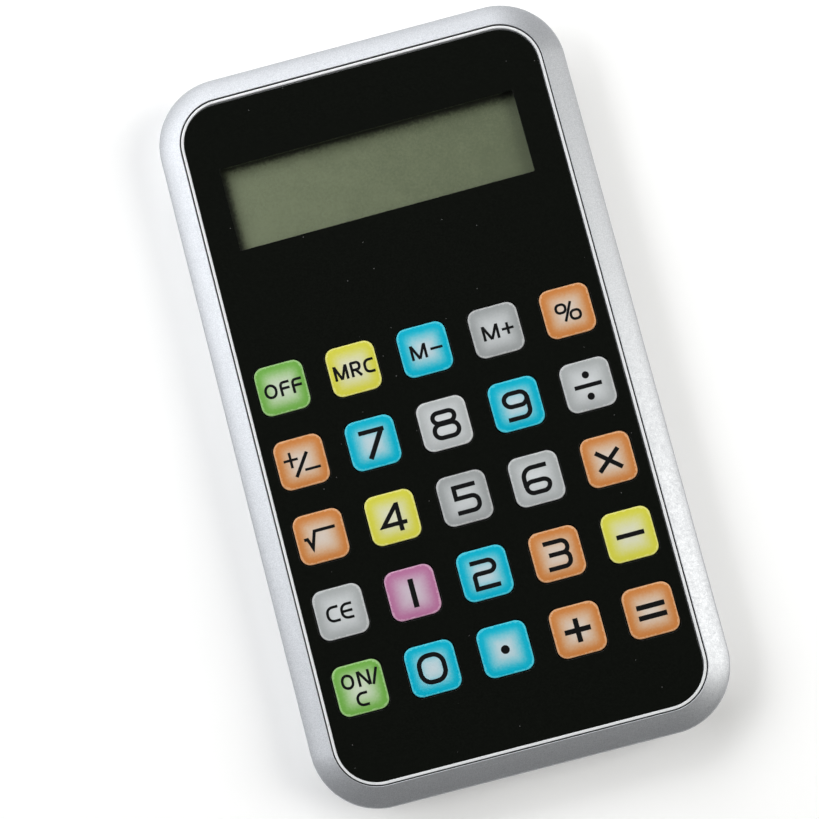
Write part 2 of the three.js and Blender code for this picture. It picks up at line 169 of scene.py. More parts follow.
def paint(name, description, *shade):
    """A colour property, given on a 0 to 255 scale."""
    return bpy.props.FloatVectorProperty(
        name=name, description=description, default=srgb(*shade), min=0.0, max=1.0, size=3, subtype="COLOR"
    )


def cap_paint(colour, part, *shade):
    """A colour property of one kind of cap, at its edge or its middle."""
    return paint(f"{colour} {part}", f"{colour} cap at its {part}", *shade)


class CalculatorSizes(bpy.types.PropertyGroup):
    """Sizes of the visible pieces."""

    case_width: length("Case width", "Width of the silver case", 66.8)
    case_length: length("Case length", "Length of the silver case", 118.8)
    case_corner: length("Case corner", "Radius of the case's corners, seen from above", 10.7)
    bezel_run: length("Bezel run", "How far the sloped bezel reaches in from the side", 3.5)
    bezel_drop: length("Bezel drop", "How far the sloped bezel falls to the side", 1.8)
    bezel_edge: length("Bezel edge", "Radius of the bezel's outer edge", 0.5)
    groove_width: length("Groove width", "Width of the groove inside the bezel", 0.2)
    groove_depth: length("Groove depth", "Depth of the groove inside the bezel", 0.4)
    trim_width: length("Trim width", "Width of the thin trim round the face", 0.42)
    recess_depth: length("Recess depth", "Depth of the recess that holds the face", 0.75)
    skin: length("Case skin", "Thickness of the front case's skin", 0.85)
    face_width: length("Face width", "Width of the gloss face", 58.2)
    face_length: length("Face length", "Length of the gloss face", 110.1)
    face_corner: length("Face corner", "Radius of the gloss face's corners", 6.3)
    window_width: length("Window width", "Width of the display window", 48.26)
    window_height: length("Window height", "Height of the display window", 13.55)
    window_up: length("Window place", "Height of the window's middle above the face's middle", 38.1)
    cap_size: length("Cap size", "Width and length of a key cap", 7.9)
    cap_corner: length("Cap corner", "Radius of a key cap's corners", 1.6)
    cap_edge: length("Cap edge", "Radius of a key cap's top edge", 0.16)
    cap_flange: length("Cap flange", "Width of the hidden flange under a key cap", 9.3)
    cap_gap: length("Cap gap", "Gap round a key cap", 0.2)
    mat_width: length("Keypad width", "Width of the silicone keypad sheet", 57.0)
    mat_length: length("Keypad length", "Length of the silicone keypad sheet", 58.4)
    mat_thickness: length("Keypad thickness", "Thickness of the silicone keypad sheet", 0.8)
    dome_radius: length("Dome radius", "Radius of a keypad dome at its foot", 3.1)
    ink_height: length("Ink height", "How far the printed legend stands on its cap", 0.02)


class CalculatorColours(bpy.types.PropertyGroup):
    """Colours of the paint, the print and the plastics."""

    silver: paint("Silver paint", "Paint of the front case", 182, 185, 190)
    # The trim's near-white is a painted highlight: it is the silver ledge, painted brighter than the silver
    # paint where it catches the light.
    trim: paint("Trim", "Thin bright trim round the face", 236, 238, 240)
    silver_back: paint("Silver back", "Moulded colour of the back", 196, 199, 203)
    face: paint("Face black", "Back print of the gloss face", 16, 18, 15)
    # The display's two colours differ by painted light: the film is lighter at its left side and darker at
    # its right.
    display_lit_side: paint("Display light side", "Display film at the lighter side", 127, 134, 109)
    display_shaded_side: paint("Display dark side", "Display film at the darker side", 109, 116, 93)
    ink: paint("Ink", "Ink of the key legends", 14, 15, 16)
    green_edge: cap_paint("Green", "edge", 110, 169, 74)
    green_middle: cap_paint("Green", "middle", 200, 213, 191)
    yellow_edge: cap_paint("Yellow", "edge", 207, 204, 71)
    yellow_middle: cap_paint("Yellow", "middle", 215, 216, 192)
    blue_edge: cap_paint("Blue", "edge", 6, 172, 200)
    blue_middle: cap_paint("Blue", "middle", 192, 209, 216)
    grey_edge: cap_paint("Grey", "edge", 175, 179, 180)
    grey_middle: cap_paint("Grey", "middle", 209, 213, 215)
    orange_edge: cap_paint("Orange", "edge", 198, 126, 66)
    orange_middle: cap_paint("Orange", "middle", 213, 200, 188)
    pink_edge: cap_paint("Pink", "edge", 177, 112, 152)
    pink_middle: cap_paint("Pink", "middle", 200, 186, 198)


# ---- finishes

# A colour Mix node's sockets.
MIX_FIRST, MIX_SECOND, MIX_RESULT = 6, 7, 2


class Finish:
    """A new material with one Principled shader, and short ways to add nodes to it."""

    def __init__(self, name, colour, roughness, **shader):
        self.material = bpy.data.materials.new(name)
        self.material.use_nodes = True
        self.tree = self.material.node_tree
        self.shader = self.tree.nodes["Principled BSDF"]
        self.object_place = self.add("TexCoord").outputs["Object"]
        self.shader.inputs["Base Color"].default_value = (*colour, 1)
        self.shader.inputs["Roughness"].default_value = roughness
        for socket, value in shader.items():
            self.shader.inputs[socket.replace("_", " ")].default_value = value

    def add(self, kind, inputs=None, **settings):
        """Adds a node; an input given as a socket is linked, and any other value is set."""
        added = self.tree.nodes.new("ShaderNode" + kind)
        for name, value in settings.items():
            setattr(added, name, value)
        for name, value in (inputs or {}).items():
            if isinstance(value, bpy.types.NodeSocket):
                self.tree.links.new(value, added.inputs[name])
            else:
                added.inputs[name].default_value = value
        return added

    def math(self, operation, first, second=0.0):
        """The result of a Math node."""
        return self.add("Math", {0: first, 1: second}, operation=operation).outputs[0]

    def noise(self, grain_mm, detail=3.0, stretch=(1, 1, 1)):
        """Noise whose spots are about grain_mm across, drawn out along the axes by stretch."""
        scale = tuple(1 / (grain_mm * MM * share) for share in stretch)
        place = self.add("Mapping", {"Vector": self.object_place, "Scale": scale}).outputs[0]
        return self.add("TexNoise", {"Vector": place, "Scale": 1.0, "Detail": detail}).outputs["Fac"]

    def ramp(self, factor, stops):
        """A colour for each place on a scale from 0 to 1."""
        added = self.add("ValToRGB", {"Fac": factor})
        elements = added.color_ramp.elements
        while len(elements) < len(stops):
            elements.new(0.5)
        for element, (place, _) in zip(elements, stops):
            element.position = place
        for element, (_, colour) in zip(elements, stops):
            element.color = (*colour, 1)
        return added.outputs["Color"]

    def mix(self, share, first, second):
        """The colour between first and second, which are sockets or colours."""
        inputs = {0: share, MIX_FIRST: first, MIX_SECOND: second}
        return self.add("Mix", inputs, data_type="RGBA").outputs[MIX_RESULT]

    def range(self, factor, low, high, from_low=0.3, from_high=0.7):
        """Noise from from_low to from_high, spread over low to high."""
        inputs = {"Value": factor, "From Min": from_low, "From Max": from_high}
        return self.add("MapRange", {**inputs, "To Min": low, "To Max": high}).outputs[0]

    def colour(self, socket):
        """Links the base colour."""
        self.tree.links.new(socket, self.shader.inputs["Base Color"])

    def roughness(self, socket):
        """Links the roughness."""
        self.tree.links.new(socket, self.shader.inputs["Roughness"])

    def worn(self, grain_mm, low, high):
        """Lets the roughness wander between low and high."""
        self.roughness(self.range(self.noise(grain_mm), low, high))

    def grained(self, grain, low, high):
        """Lets the base colour follow a grain from low to high."""
        self.colour(self.ramp(grain, ((0.3, low), (0.7, high))))

    def bump(self, height, depth_mm, strength=0.5, below=None):
        """Raises the surface by height times depth_mm. below is an earlier bump's socket."""
        inputs = {"Height": height, "Distance": depth_mm * MM, "Strength": strength}
        if below is not None:
            inputs["Normal"] = below
        normal = self.add("Bump", inputs).outputs[0]
        self.tree.links.new(normal, self.shader.inputs["Normal"])
        return normal


def darker(colour, share):
    """A colour times a share, which may also be above 1."""
    return tuple(min(value * share, 1.0) for value in colour)


def lighter(colour, share):
    """A colour moved towards white by a share of the way."""
    return tuple(value + (1 - value) * share for value in colour)


def silver_paint(colours):
    """Satin silver paint: fine flake in its colour and gloss over a faint orange-peel."""
    finish = Finish("silver_paint", colours.silver, 0.44, Metallic=0.6)
    flake = finish.noise(0.16, detail=2.0)
    low, high = darker(colours.silver, 0.9), lighter(colours.silver, 0.17)
    finish.colour(finish.ramp(flake, ((0.32, low), (0.68, high))))
    finish.worn(0.5, 0.40, 0.50)
    below = finish.bump(finish.noise(2.4, detail=1.0), 0.01, 0.25)
    finish.bump(flake, 0.005, 0.3, below)
    return finish.material


def silver_moulding(colours):
    """Bare silver-grey plastic with a fine spark-eroded texture."""
    finish = Finish("silver_moulding", colours.silver_back, 0.48, Metallic=0.25)
    grain = finish.noise(0.22, detail=4.0)
    low, high = darker(colours.silver_back, 0.88), lighter(colours.silver_back, 0.12)
    finish.grained(grain, low, high)
    finish.worn(1.8, 0.42, 0.56)
    finish.bump(grain, 0.03, 0.5)
    return finish.material


# A clear sheet's refraction, and the share of light that it mirrors when seen straight on.
CLEAR_IOR = 1.49
CLEAR_MIRROR = 0.039
# Dust on the face: spacing of the specks, their radius as a share of it, and the share left out.
DUST_SPACING, DUST_RADIUS, DUST_LEFT_OUT = 2.2, 0.042, 0.42


def gloss_face(colours):
    """Clear sheet over black print: high gloss, light wipe marks and a few specks of dust."""
    finish = Finish("gloss_face", colours.face, 0.07, IOR=CLEAR_IOR)
    cells = finish.add("TexVoronoi", {"Vector": finish.object_place, "Scale": 1 / (DUST_SPACING * MM)})
    near = finish.math("LESS_THAN", cells.outputs["Distance"], DUST_RADIUS)
    chance = finish.add("SeparateColor", {"Color": cells.outputs["Color"]}).outputs[0]
    speck = finish.math("MULTIPLY", near, finish.math("GREATER_THAN", chance, DUST_LEFT_OUT))
    low, high = darker(colours.face, 0.75), darker(colours.face, 1.15)
    cloud = finish.ramp(finish.noise(0.25), ((0.3, low), (0.7, high)))
    finish.colour(finish.mix(speck, cloud, (*lighter(colours.face, 0.08), 1)))
    wipe = finish.noise(1.3, detail=4.0, stretch=(1, 24, 1))
    finish.roughness(finish.range(wipe, 0.06, 0.09, 0.45, 0.75))
    finish.bump(finish.noise(14.0, detail=1.0), 0.004, 0.2)
    return finish.material


def window_clear():
    """Clear acrylic that lets the room's light through and mirrors it faintly."""
    finish = Finish("window_clear", (0.95, 0.96, 0.94), 0.03)
    tree = finish.tree
    tree.nodes.remove(finish.shader)
    through = finish.add("BsdfTransparent", {"Color": (0.96, 0.97, 0.955, 1)})
    smear = finish.range(finish.noise(6.0), 0.02, 0.06)
    mirror = finish.add("BsdfGlossy", {"Color": (1, 1, 1, 1), "Roughness": smear})
    grazing = finish.math("POWER", finish.add("LayerWeight", {"Blend": 0.5}).outputs["Facing"], 5.0)
    share = finish.math("ADD", finish.math("MULTIPLY", grazing, 1 - CLEAR_MIRROR), CLEAR_MIRROR)
    mix = finish.add("MixShader", {0: share, 1: through.outputs[0], 2: mirror.outputs[0]})
    tree.links.new(mix.outputs[0], tree.nodes["Material Output"].inputs["Surface"])
    return finish.material


def painted_edge_shadow(finish, axis, start, end):
    """Mask of a painted shadow along an edge: 0 where the painted shadow is full, at start on an axis, and
    1 at end.
    """
    axes = finish.add("SeparateXYZ", {0: finish.object_place})
    blur = finish.range(finish.noise(0.35), -0.2 * MM, 0.2 * MM)
    place = finish.math("ADD", axes.outputs[axis], blur)
    inputs = {"Value": place, "From Min": start, "From Max": end}
    return finish.add("MapRange", inputs, interpolation_type="SMOOTHSTEP").outputs[0]


# How much the painted light across the film leans up, and how far the painted shadow of the window's left
# and top edges reaches on the film.
FILM_SLANT = -0.18
LEFT_PAINTED_SHADOW = (-0.1, 1.2)
TOP_PAINTED_SHADOW = (0.15, -1.25)


def display_film(colours):
    """Grey-green polariser, mottled by the reflector behind it, with painted light that makes it lighter at
    the left and darker at the right, and a painted shadow along its left and top edges.
    """
    finish = Finish("display_film", colours.display_lit_side, 0.42)
    low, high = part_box("lcd_glass")
    middle, width = (low + high) / 2, high.x - low.x
    centred = finish.add("VectorMath", {0: finish.object_place, 1: middle}, operation="SUBTRACT").outputs[0]
    direction = (1 / width, FILM_SLANT / width, 0)
    slope = finish.add("VectorMath", {0: centred, 1: direction}, operation="DOT_PRODUCT").outputs["Value"]
    across = finish.math("ADD", slope, 0.5)
    mottle = finish.range(finish.noise(0.35, detail=3.0), -0.30, 0.30)
    cloud = finish.range(finish.noise(4.0), -0.16, 0.16)
    place = finish.math("ADD", across, finish.math("ADD", mottle, cloud))
    # Painted light: the film runs from lighter at the left to darker at the right.
    film = finish.ramp(place, ((0.05, colours.display_lit_side), (0.95, colours.display_shaded_side)))
    window_low, window_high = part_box("display_window")
    left = painted_edge_shadow(finish, "X", *(window_low.x + reach * MM for reach in LEFT_PAINTED_SHADOW))
    top = painted_edge_shadow(finish, "Y", *(window_high.y + reach * MM for reach in TOP_PAINTED_SHADOW))
    # Painted shadow: the window's left and top edges shade the film's edge, painted as a near-black tone of
    # the film.
    shade = (*darker(colours.display_shaded_side, 0.12), 1)
    finish.colour(finish.mix(finish.math("MULTIPLY", left, top), shade, film))
    finish.worn(1.5, 0.36, 0.5)
    finish.bump(finish.noise(0.2), 0.004, 0.3)
    return finish.material


# How far from a cap's middle (0) to its edge (1) each share of the middle colour stands.
CAP_FADE = ((0.08, 1.0), (0.27, 0.92), (0.50, 0.66), (0.67, 0.35), (0.78, 0.11), (0.87, 0.0), (0.925, 0.0))
# Where the light rim line is full, and how far it is moved to white.
CAP_RIM, CAP_RIM_WHITE = 0.955, 0.28
# The power of the rounded square that the fade follows.
CAP_ROUNDNESS = 5.4
# A darker tone changes a cap's middle less than its edge, by this power.
CAP_MIDDLE_TONE = 0.4


def cap_print(name, edge, middle, tone=1.0):
    """Printed cap: full colour at the edge that fades to a pale middle, with a light rim line."""
    edge, middle = darker(edge, tone), darker(middle, tone ** CAP_MIDDLE_TONE)
    finish = Finish(name, edge, 0.45, Specular_IOR_Level=0.12)
    print_place = finish.add("UVMap", uv_map="print").outputs["UV"]
    centred = finish.add("VectorMath", {0: print_place, 1: (0.5, 0.5, 0)}, operation="SUBTRACT").outputs[0]
    sides = finish.add("VectorMath", {0: centred}, operation="ABSOLUTE").outputs[0]
    axes = finish.add("SeparateXYZ", {0: sides})
    across = finish.math("POWER", axes.outputs["X"], CAP_ROUNDNESS)
    along = finish.math("POWER", axes.outputs["Y"], CAP_ROUNDNESS)
    reach = finish.math("POWER", finish.math("ADD", across, along), 1 / CAP_ROUNDNESS)
    mottle = finish.range(finish.noise(0.3, detail=2.0), -0.035, 0.035)
    distance = finish.math("MULTIPLY_ADD", reach, 2.0)
    distance.node.inputs[2].default_value = 0.0
    finish.tree.links.new(mottle, distance.node.inputs[2])
    stops = [(place, mixed(edge, middle, share)) for place, share in CAP_FADE]
    stops.append((CAP_RIM, mixed(edge, (1, 1, 1), CAP_RIM_WHITE)))
    finish.colour(finish.ramp(distance, stops))
    finish.worn(0.8, 0.34, 0.46)
    finish.bump(finish.noise(0.12), 0.004, 0.3)
    return finish.material


def plain_finish(name, colour, roughness, grain_mm, depth_mm, spread=0.15, **shader):
    """Moulded or metal finish: colour, gloss and surface all vary a little with one grain."""
    finish = Finish(name, colour, roughness, **shader)
    grain = finish.noise(grain_mm)
    low, high = darker(colour, 1 - spread), darker(colour, 1 + spread)
    finish.grained(grain, low, high)
    finish.worn(grain_mm * 5, roughness * 0.85, roughness * 1.15)
    finish.bump(grain, depth_mm, 0.4)
    return finish.material


def brushed_finish(name, colour, roughness, stretch):
    """Metal with fine drawn lines along one axis."""
    finish = Finish(name, colour, roughness, Metallic=1.0)
    lines = finish.noise(0.08, detail=4.0, stretch=stretch)
    finish.grained(lines, darker(colour, 0.8), colour)
    finish.roughness(finish.range(lines, roughness * 0.8, roughness * 1.3))
    finish.bump(lines, 0.004, 0.4)
    return finish.material


def board_mask():
    """Green solder mask over copper tracks that show as paler, raised lines."""
    base, track, black, white = (0.012, 0.11, 0.045), (0.05, 0.24, 0.10), (0, 0, 0, 1), (1, 1, 1, 1)
    finish = Finish("board_mask", base, 0.3)
    inputs = {
        "Vector": finish.object_place, "Scale": 1 / (2.6 * MM), "Brick Width": 1.9, "Row Height": 0.55,
        "Mortar Size": 0.05, "Color1": black, "Color2": black, "Mortar": white,
    }
    tracks = finish.add("TexBrick", inputs, offset=0.37).outputs["Color"]
    finish.colour(finish.ramp(tracks, ((0.0, base), (1.0, track))))
    finish.worn(0.6, 0.25, 0.38)
    finish.bump(tracks, 0.03, 0.4)
    return finish.material


# ---- modelling

FACE_UP = (0, 0, 1)


def round_corners(bm, corners, radius, steps):
    """Rounds corners in their plane and returns the new vertices."""
    return bmesh.ops.bevel(
        bm, geom=corners, offset=radius, offset_type="OFFSET", segments=steps,
        profile=0.5, affect="VERTICES", material=-1,
    )["verts"]


def rounded_face(bm, width, height, corner, z, middle=(0.0, 0.0), steps=14):
    """Adds a rectangle with rounded corners, facing up."""
    x, y = middle
    signs = ((-1, -1), (1, -1), (1, 1), (-1, 1))
    corners = [bm.verts.new((x + a * width / 2, y + b * height / 2, z)) for a, b in signs]
    face = bm.faces.new(corners)
    return round_corners(bm, corners, corner, steps)[0].link_faces[0] if corner > 0 else face


def step(bm, face, inward, up):
    """Grows a face by one ring: inward across it and up along its normal."""
    bmesh.ops.inset_individual(bm, faces=[face], thickness=inward, depth=up, use_even_offset=True)


def arc_steps(radius, count, end=90.0):
    """The ring steps of an arc that starts upright and has turned by end degrees."""
    angles = [math.radians(end * i / count) for i in range(count + 1)]
    points = [(radius * (1 - math.cos(a)), radius * math.sin(a)) for a in angles]
    return [(b[0] - a[0], b[1] - a[1]) for a, b in zip(points, points[1:])]


def round_up(bm, face, radius, count):
    """Rounds from a wall up into a flat top."""
    for inward, up in arc_steps(radius, count):
        step(bm, face, inward, up)


def round_over(bm, face, radius):
    """Rounds from a flat rim down into a wall."""
    for inward, up in reversed(arc_steps(radius, 3)):
        step(bm, face, up, -inward)


def add_disc(bm, radius, place):
    """Adds a round face and returns it."""
    spot = Matrix.Translation(place)
    disc = bmesh.ops.create_circle(bm, cap_ends=True, radius=radius, segments=32, matrix=spot)
    return disc["verts"][0].link_faces[0]


def shift_new(bm, grown, height):
    """Moves the vertices that an extrusion made along Z."""
    made = [item for item in grown["geom"] if isinstance(item, bmesh.types.BMVert)]
    bmesh.ops.translate(bm, vec=(0, 0, height), verts=made)


def close_hole(bm):
    """Closes the open edge loop at the start of a lofted piece."""
    edges = [edge for edge in bm.edges if edge.is_boundary]
    bmesh.ops.holes_fill(bm, edges=edges, sides=0)


def paint_new(bm, before, slot):
    """Gives the faces added since before a material slot."""
    for face in set(bm.faces) - before:
        face.material_index = slot


def open_loop(bm, face):
    """Removes a face and returns its edges."""
    edges = list(face.edges)
    bmesh.ops.delete(bm, geom=[face], context="FACES_ONLY")
    return edges


def plate_with_openings(bm, outline, openings):
    """Fills between an outline and the openings in it, all given as loops of edges."""
    edges = outline + [edge for loop in openings for edge in loop]
    bmesh.ops.triangle_fill(bm, use_beauty=True, use_dissolve=False, edges=edges, normal=FACE_UP)


WINDOW_CORNER = 0.25


def window_outline(bm, sizes, z, gap=0.0):
    """Adds the display window's outline, before the face's place is applied."""
    width, height = sizes.window_width / MM + 2 * gap, sizes.window_height / MM + 2 * gap
    return rounded_face(bm, width, height, WINDOW_CORNER, z, (0, sizes.window_up / MM), steps=4)


def face_openings(bm, sizes, z, key_gap, window_gap):
    """Loops of the 25 key openings and the display window, placed as the face is."""
    loops = []
    side = sizes.cap_size / MM + 2 * key_gap
    for name, _ in KEYS:
        place = FACE_PLACE.inverted() @ centre_mm("key_" + name)
        hole = rounded_face(bm, side, side, sizes.cap_corner / MM + key_gap, z, (place.x, place.y), steps=8)
        loops.append(open_loop(bm, hole))
    loops.append(open_loop(bm, window_outline(bm, sizes, z, window_gap)))
    vertices = {vertex for loop in loops for edge in loop for vertex in edge.verts}
    bmesh.ops.transform(bm, matrix=FACE_PLACE, verts=list(vertices))
    return loops


# Edges that turn by more than this stay sharp, or are rounded by a bevel.
SHARP_ANGLE = math.radians(35.0)


def finish_piece(bm, name, materials, body, replaces=()):
    """Turns a bmesh in millimetres into a piece at the origin that rides on a body."""
    bmesh.ops.scale(bm, vec=(MM, MM, MM), verts=bm.verts)
    for face in bm.faces:
        face.smooth = True
    for edge in bm.edges:
        edge.smooth = edge.calc_face_angle(0.0) < SHARP_ANGLE
    mesh = bpy.data.meshes.new(name)
    bm.to_mesh(mesh)
    bm.free()
    for material in materials:
        mesh.materials.append(material)
    piece = add_object(name, mesh)
    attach(piece, body)
    if replaces:
        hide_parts(*replaces)
    return piece


def add_bevel(piece, width_mm):
    """Rounds a piece's hard edges."""
    bevel = piece.modifiers.new("rounded_edges", "BEVEL")
    bevel.width, bevel.segments = width_mm * MM, 2
    bevel.limit_method, bevel.angle_limit = "ANGLE", SHARP_ANGLE
    bevel.harden_normals = True
    flat = piece.modifiers.new("flat_faces", "WEIGHTED_NORMAL")
    flat.keep_sharp = True


# The bezel's outer edge turns this far before the slope starts, in degrees. The slope's four
# bands share the rest of its rise, so that it is a little convex.
BEZEL_TURN = 60.0
BEZEL_SLOPES = (0.31, 0.27, 0.23, 0.19)
# Radii of the bezel's inner lip and of the trim, and how far the trim lies below the lip.
LIP_RADIUS = 0.08
TRIM_RADIUS = 0.07
TRIM_DROP = 0.08
# The front case hangs this far over the rear shell's tongue.
TONGUE_OVERLAP = 0.85
# Gap round the window in the case's deck and in the gloss face.
DECK_WINDOW_GAP, FACE_WINDOW_GAP = 0.5, 0.02


# The front case's finishes, in the order of its material slots after the silver paint: the trim's painted
# highlight, and near-black painted shade for the groove and the skin's inner side and rims.
CASE_TRIM, CASE_PAINTED_SHADE = 1, 2


def make_front_case(sizes, colours):
    """The silver front: side wall, sloped bezel, groove, trim, and a deck with openings; the groove and the
    skin's inner side and rims are painted near black as shade, and the trim is painted lighter as a
    highlight.
    """
    top = box_mm("front_housing")[1].z
    split = box_mm("rear_shell")[1].z - TONGUE_OVERLAP
    width, height, corner = sizes.case_width / MM, sizes.case_length / MM, sizes.case_corner / MM
    run, drop, edge = sizes.bezel_run / MM, sizes.bezel_drop / MM, sizes.bezel_edge / MM
    groove, depth, recess = sizes.groove_width / MM, sizes.groove_depth / MM, sizes.recess_depth / MM
    bm = bmesh.new()
    face = rounded_face(bm, width, height, corner, split, steps=24)
    rounding = arc_steps(edge, 6, BEZEL_TURN)
    step(bm, face, 0.0, top - drop - split)
    for inward, up in rounding:
        step(bm, face, inward, up)
    band = run - sum(inward for inward, up in rounding)
    rise = drop - sum(up for inward, up in rounding)
    for share in BEZEL_SLOPES:
        step(bm, face, band / len(BEZEL_SLOPES), rise * share)
    round_over(bm, face, LIP_RADIUS)
    # The groove's walls and floor, added next, are painted near black as shade.
    painted = set(bm.faces)
    step(bm, face, 0.0, LIP_RADIUS - depth)
    step(bm, face, groove, 0.0)
    step(bm, face, 0.0, depth - TRIM_DROP - TRIM_RADIUS)
    paint_new(bm, painted, CASE_PAINTED_SHADE)
    # The trim, added next, is painted near white, brighter than the silver, as a painted highlight.
    painted = set(bm.faces)
    round_up(bm, face, TRIM_RADIUS, 3)
    step(bm, face, sizes.trim_width / MM - 2 * TRIM_RADIUS, 0.0)
    round_over(bm, face, TRIM_RADIUS)
    step(bm, face, 0.0, TRIM_RADIUS + TRIM_DROP - recess)
    paint_new(bm, painted, CASE_TRIM)
    outline = open_loop(bm, face)
    openings = face_openings(bm, sizes, top - recess, sizes.cap_gap / MM, DECK_WINDOW_GAP)
    plate_with_openings(bm, outline, openings)
    # Near-black painted shade for the groove, the deck's underside and the walls of its openings.
    dark = plain_finish("case_inside", (0.02, 0.02, 0.021), 0.6, 0.3, 0.01)
    # Painted highlight: the trim's brighter copy of the silver.
    bright = plain_finish("trim_bright", colours.trim, 0.3, 0.4, 0.003, 0.03, Metallic=0.1)
    finishes = [silver_paint(colours), bright, dark]
    piece = finish_piece(bm, "front_case", finishes, CASE_BODY, ["front_housing"])
    skin = piece.modifiers.new("skin", "SOLIDIFY")
    skin.thickness, skin.offset, skin.use_even_offset = sizes.skin, -1.0, True
    # The skin's inner side and its rims, the walls of the openings, take the near-black painted shade.
    skin.material_offset, skin.material_offset_rim = CASE_PAINTED_SHADE, CASE_PAINTED_SHADE


# The middle of the gloss face's outline. It is square to the case and clears the trim all
# round, while its openings follow the face's turn.
FACE_OUTLINE_MIDDLE = (-0.08, -0.1)


def make_face_panel(sizes, colours):
    """The gloss black face, with openings that clear the caps and the window."""
    low, high = box_mm("front_panel")
    width, height, corner = sizes.face_width / MM, sizes.face_length / MM, sizes.face_corner / MM
    bm = bmesh.new()
    outline = open_loop(bm, rounded_face(bm, width, height, corner, high.z, FACE_OUTLINE_MIDDLE))
    openings = face_openings(bm, sizes, high.z, sizes.cap_gap / MM, FACE_WINDOW_GAP)
    plate_with_openings(bm, outline, openings)
    grown = bmesh.ops.extrude_face_region(bm, geom=bm.faces[:], use_keep_orig=True)
    shift_new(bm, grown, low.z - high.z)
    bmesh.ops.recalc_face_normals(bm, faces=bm.faces)
    piece = finish_piece(bm, "face_panel", [gloss_face(colours)], CASE_BODY, ["front_panel"])
    add_bevel(piece, 0.03)


def make_window(sizes):
    """The clear window, level with the face."""
    low, high = box_mm("display_window")
    bm = bmesh.new()
    face = window_outline(bm, sizes, low.z)
    step(bm, face, 0.0, high.z - low.z)
    close_hole(bm)
    bmesh.ops.transform(bm, matrix=FACE_PLACE, verts=bm.verts)
    bmesh.ops.recalc_face_normals(bm, faces=bm.faces)
    finish_piece(bm, "clear_window", [window_clear()], CASE_BODY, ["display_window"])


def cap_finishes(colours):
    """One print for each cap colour; the greys come in three tones."""
    finishes = {}
    for name in ("green", "yellow", "blue", "grey", "orange", "pink"):
        edge, middle = getattr(colours, name + "_edge"), getattr(colours, name + "_middle")
        finishes[name] = cap_print("cap_" + name, edge, middle)
    for name, tone in (("grey_mid", 0.88), ("grey_deep", 0.74)):
        finishes[name] = cap_print("cap_" + name, colours.grey_edge, colours.grey_middle, tone)
    return finishes


FLANGE_THICKNESS = 0.8
# How far the print reaches down a cap's side, below its rounded edge.
PRINT_WRAP = 0.12


def make_cap(name, sizes, materials):
    """One key: a printed cap with a soft top edge, on a dark body with a hidden flange."""
    node = "key_" + name
    size, flange, edge = sizes.cap_size / MM, sizes.cap_flange / MM, sizes.cap_edge / MM
    corner = sizes.cap_corner / MM
    reach = (flange - size) / 2
    flange_top = KEY_LOW + FLANGE_THICKNESS
    bm = bmesh.new()
    face = rounded_face(bm, flange, flange, corner + reach, KEY_LOW, steps=10)
    step(bm, face, 0.0, flange_top - KEY_LOW)
    step(bm, face, reach, 0.0)
    step(bm, face, 0.0, FACE_TOP - flange_top - edge - PRINT_WRAP)
    body_faces = set(bm.faces) - {face}
    step(bm, face, 0.0, PRINT_WRAP)
    round_up(bm, face, edge, 4)
    close_hole(bm)
    layer = bm.loops.layers.uv.new("print")
    for item in bm.faces:
        item.material_index = 1 if item in body_faces or item.normal.z < -0.5 else 0
        for loop in item.loops:
            loop[layer].uv = (loop.vert.co.x / size + 0.5, loop.vert.co.y / size + 0.5)
    bmesh.ops.transform(bm, matrix=key_place(name), verts=bm.verts)
    finish_piece(bm, "cap_" + name, materials, node, [node])


# The keypad sheet's middle, corner radius and top edge's radius.
MAT_MIDDLE_Y, MAT_CORNER, MAT_EDGE = -16.2, 1.5, 0.12


def make_keypad_sheet(sizes, rubber):
    """The silicone sheet that carries the domes."""
    low = box_mm("keypad_mat")[0]
    width, length_y = sizes.mat_width / MM, sizes.mat_length / MM
    bm = bmesh.new()
    face = rounded_face(bm, width, length_y, MAT_CORNER, low.z, (0, MAT_MIDDLE_Y), steps=6)
    step(bm, face, 0.0, sizes.mat_thickness / MM - MAT_EDGE)
    round_up(bm, face, MAT_EDGE, 3)
    close_hole(bm)
    bmesh.ops.transform(bm, matrix=FACE_PLACE, verts=bm.verts)
    finish_piece(bm, "keypad_sheet", [rubber], CASE_BODY, ["keypad_mat"])


# A dome: how deep its foot sinks in the sheet, its sloping foot, the skirt's lean, the crown's
# radius, the crown's flat rim and the dimple in it, and its gap to a pressed key.
DOME_SUNK, DOME_FOOT, DOME_LEAN, DOME_CROWN = 0.05, 0.12, 0.22, 0.2
DOME_RIM, DOME_DIMPLE, DOME_CLEAR = 0.75, 0.15, 0.03


def make_dome(name, sizes, rubber):
    """One rubber dome: a sloping skirt up to a soft plunger."""
    low, high = box_mm("keypad_mat")
    place = centre_mm("key_" + name)
    base = low.z + sizes.mat_thickness / MM - DOME_SUNK
    height = high.z - base
    bm = bmesh.new()
    face = add_disc(bm, sizes.dome_radius / MM, (place.x, place.y, base))
    if face.normal.z < 0:
        bmesh.ops.reverse_faces(bm, faces=[face])
    step(bm, face, DOME_FOOT, DOME_FOOT)
    step(bm, face, DOME_LEAN, height - DOME_FOOT - DOME_CROWN)
    round_up(bm, face, DOME_CROWN, 4)
    step(bm, face, DOME_RIM, 0.0)
    step(bm, face, DOME_DIMPLE, -DOME_DIMPLE)
    close_hole(bm)
    dome = finish_piece(bm, "dome_" + name, [rubber], CASE_BODY)
    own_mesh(dome)


# ---- legends

# Each stroke is (width, closed, corners), in millimetres from its cap's middle. A corner is
# (x, y) or (x, y, radius). These are the usual widths.
THIN, FINE, BOLD, HEAVY = 0.41, 0.42, 0.70, 0.80


def path(width, *corners):
    """An open stroke."""
    return (width, False, corners)


